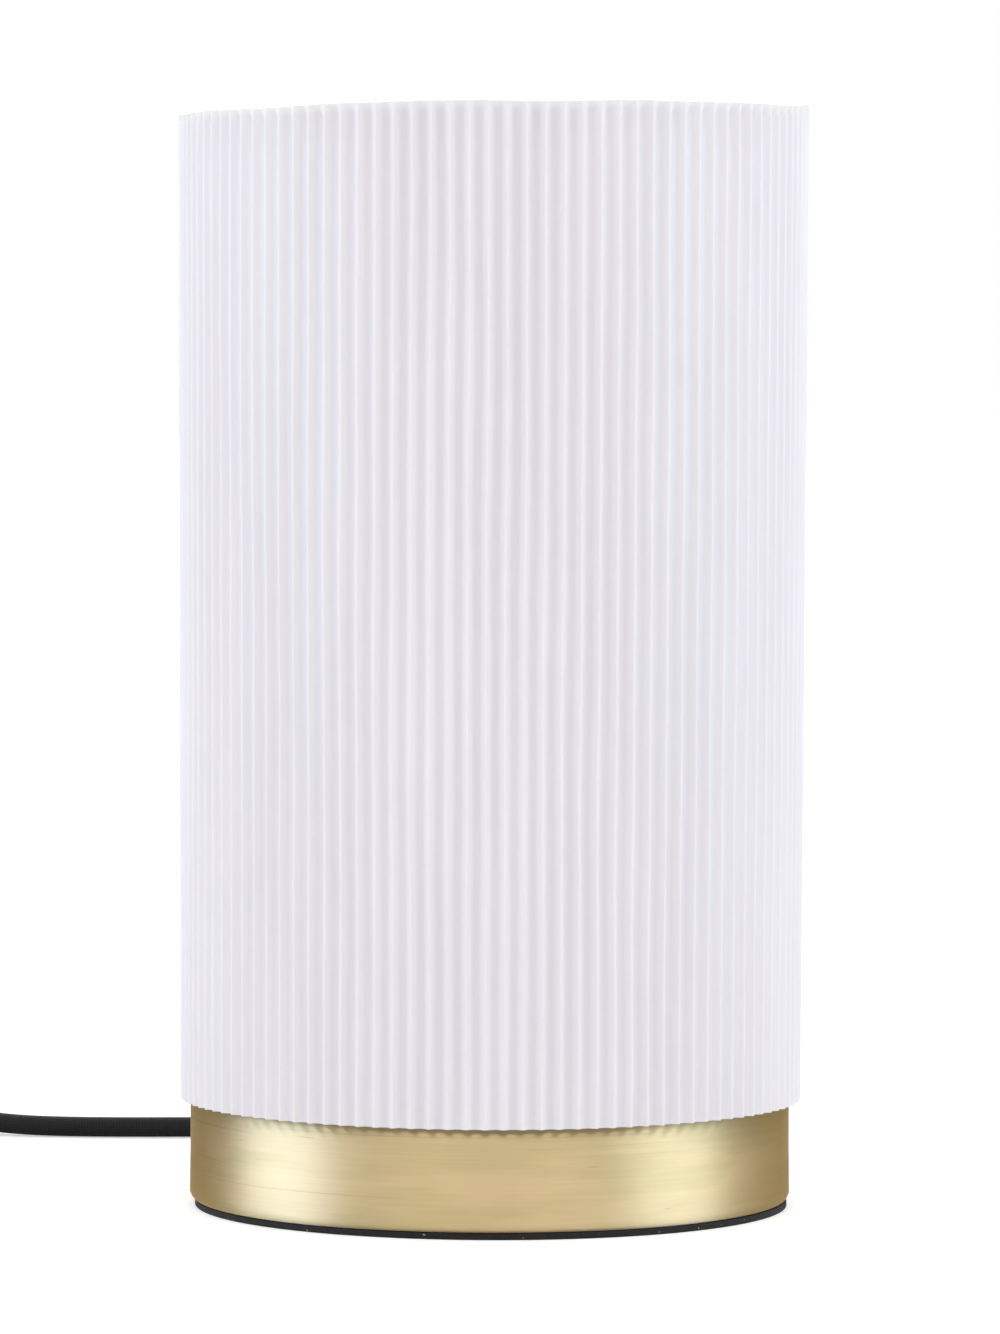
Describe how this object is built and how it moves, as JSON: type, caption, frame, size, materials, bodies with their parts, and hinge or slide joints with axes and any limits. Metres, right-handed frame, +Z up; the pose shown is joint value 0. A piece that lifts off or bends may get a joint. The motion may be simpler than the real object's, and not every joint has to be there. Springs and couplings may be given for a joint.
{
  "type": "table lamp",
  "caption": "Table lamp with a cylindrical ribbed translucent shade over a low round brass base, upright lampholder, bulb and black textile lead with inline switch and flat plug.",
  "frame": {"origin": "centre of the foot pad's underside, on the surface that the lamp stands on", "axes": "+Z up along the shade's axis; the mains lead leaves the base at the back, +Y; the camera of the picture looks along +Y"},
  "size_m": [0.3263, 0.2311, 0.2556],
  "materials": {
    "satin_brass": "brushed round the cup and lacquered, satin",
    "foam_pad": "matte closed-cell foam",
    "zinc_steel": "zinc plated",
    "cast_ballast": "rough cast",
    "turned_brass": "bright",
    "black_moulding": "fine spark-eroded matte",
    "black_gloss": "polished",
    "black_textile": "braided textile cover",
    "holder_plastic": "moulded phenolic, low gloss",
    "porcelain": "glazed",
    "core_insulation": "smooth wire insulation",
    "nickel_cap": "nickel plated",
    "white_plastic": "fine matte",
    "opal_plastic": "frosted opal",
    "board_white": "white solder mask on aluminium",
    "board_green": "solder mask",
    "shade_plastic": "translucent white, ribbed, satin",
    "white_wire": "white epoxy coat",
    "tie_band": "woven hook-and-loop band"
  },
  "bodies": {
    "base": {"base_cup": "satin_brass", "foot_pad": "foam_pad", "closing_plate": "zinc_steel", "plate_screws": "zinc_steel", "ballast": "cast_ballast", "nipple": "turned_brass", "nipple_washer": "zinc_steel", "nipple_nut": "turned_brass", "lead_outlet": "black_moulding", "lead_stop": "black_moulding", "inner_lead": "black_textile", "holder_dome": "holder_plastic", "holder_skirt": "holder_plastic", "holder_insulator": "porcelain", "screw_shell": "turned_brass", "centre_contact": "turned_brass", "terminal_blocks": "turned_brass", "terminal_screws": "zinc_steel", "core_wires": "core_insulation", "cord_lead": "black_textile", "switch_base": "black_moulding", "switch_cover": "black_moulding", "rocker_pin": "zinc_steel", "switch_terminals": "turned_brass", "switch_bridge": "turned_brass", "switch_screws": "zinc_steel", "cord_run": "black_textile", "cord_coil": "black_textile", "coil_tie": "tie_band", "cord_tail": "black_textile", "plug_body": "black_moulding", "plug_pins": "nickel_cap", "pin_sleeves": "black_gloss"},
    "bulb": {"bulb_cap": "nickel_cap", "bulb_insulator": "holder_plastic", "bulb_contact": "nickel_cap", "bulb_body": "white_plastic", "bulb_globe": "opal_plastic", "led_board": "board_white", "led_driver": "board_green"},
    "shade": {"shade_sleeve": "shade_plastic", "seat_ring": "white_wire", "top_ring": "white_wire"},
    "rocker": {"switch_rocker": "black_gloss"}
  },
  "joints": [
    {"name": "shade_lift", "type": "slide", "parent": "base", "child": "shade", "axis": [0, 0, 1], "range_m": [0, 0.16]},
    {"name": "bulb_lift", "type": "slide", "parent": "base", "child": "bulb", "axis": [0, 0, 1], "range_m": [0, 0.03]},
    {"name": "rocker_tilt", "type": "hinge", "parent": "base", "child": "rocker", "pos_m": [-0.176, 0.146, 0.012], "axis": [0, -1, 0], "range_deg": [0, 18]}
  ]
}
